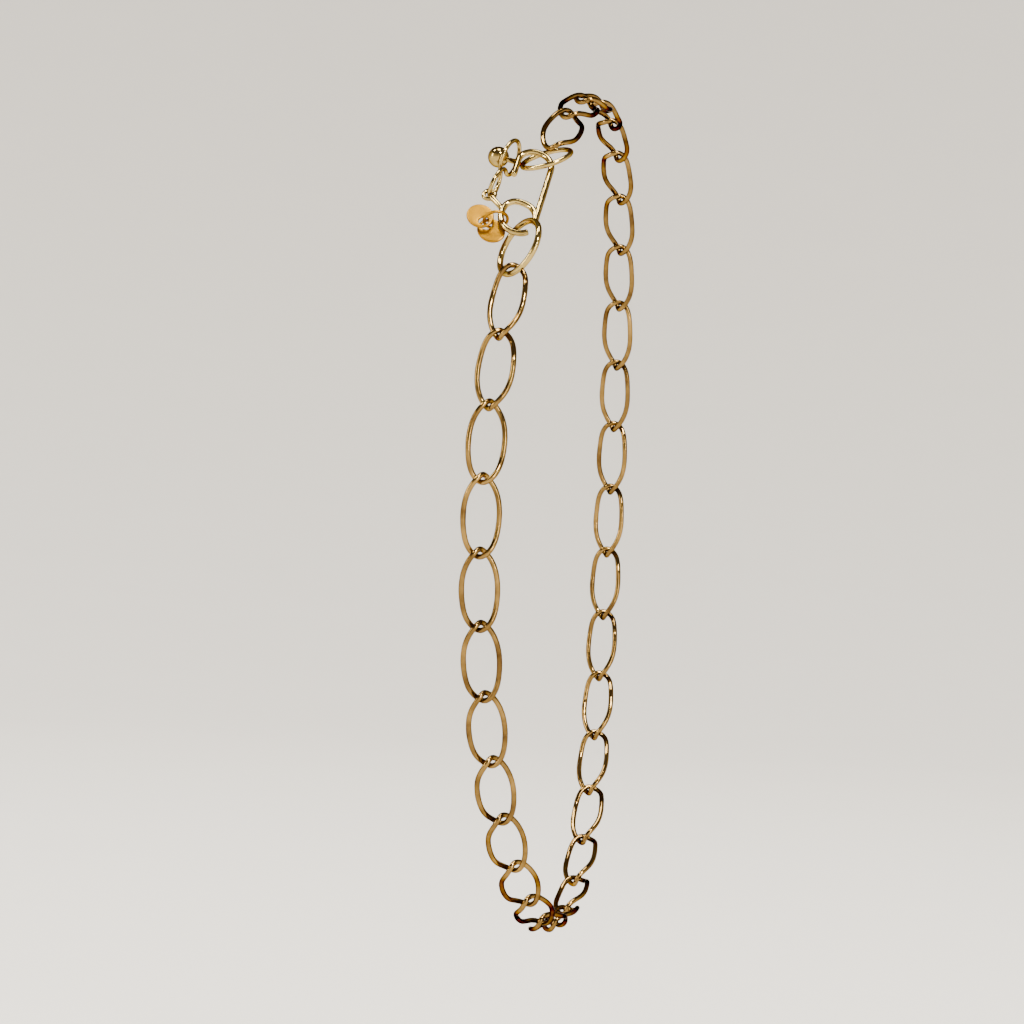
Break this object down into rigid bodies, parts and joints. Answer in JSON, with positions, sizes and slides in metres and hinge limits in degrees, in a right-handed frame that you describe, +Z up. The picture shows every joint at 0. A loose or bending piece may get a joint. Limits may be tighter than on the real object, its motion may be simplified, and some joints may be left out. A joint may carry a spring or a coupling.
{
  "type": "chain link bracelet with hook clasp",
  "caption": "Fine chain bracelet of twisted open wire links in its worn loop, closed by a bent-wire hook with a ball stud and a figure-eight safety latch, with two bare oval tags",
  "frame": {"origin": "middle of the wrist that the bracelet goes round, at the middle of the chain's loop", "axes": "+X along the arm, to the viewer's right; -Y towards the side with the clasp; +Z up, across the wrist"},
  "size_m": [0.0074, 0.056, 0.0682],
  "materials": {
    "chain": "polished yellow gold",
    "clasp": "polished yellow gold",
    "tags": "satin yellow gold"
  },
  "bodies": {
    "bracelet": {"link_01": "chain", "link_02": "chain", "link_03": "chain", "link_04": "chain", "link_05": "chain", "link_06": "chain", "link_07": "chain", "link_08": "chain", "link_09": "chain", "link_10": "chain", "link_11": "chain", "link_12": "chain", "link_13": "chain", "link_14": "chain", "link_15": "chain", "link_16": "chain", "link_17": "chain", "link_18": "chain", "link_19": "chain", "link_20": "chain", "link_21": "chain", "link_22": "chain", "link_23": "chain", "link_24": "chain", "link_25": "chain", "link_26": "chain", "link_27": "chain", "link_28": "chain", "link_29": "chain", "link_30": "chain", "link_31": "chain", "link_32": "chain", "hook": "clasp", "end_ring": "clasp", "catch_ring": "clasp", "tag_ring": "tags", "tag_1": "tags", "tag_2": "tags"},
    "latch": {"safety_latch": "clasp"}
  },
  "joints": [
    {"name": "latch_hinge", "type": "hinge", "parent": "bracelet", "child": "latch", "pos_m": [-0.00352, -0.01866, 0.02396], "axis": [0, -0.788, 0.6157], "range_deg": [0, 95]}
  ]
}
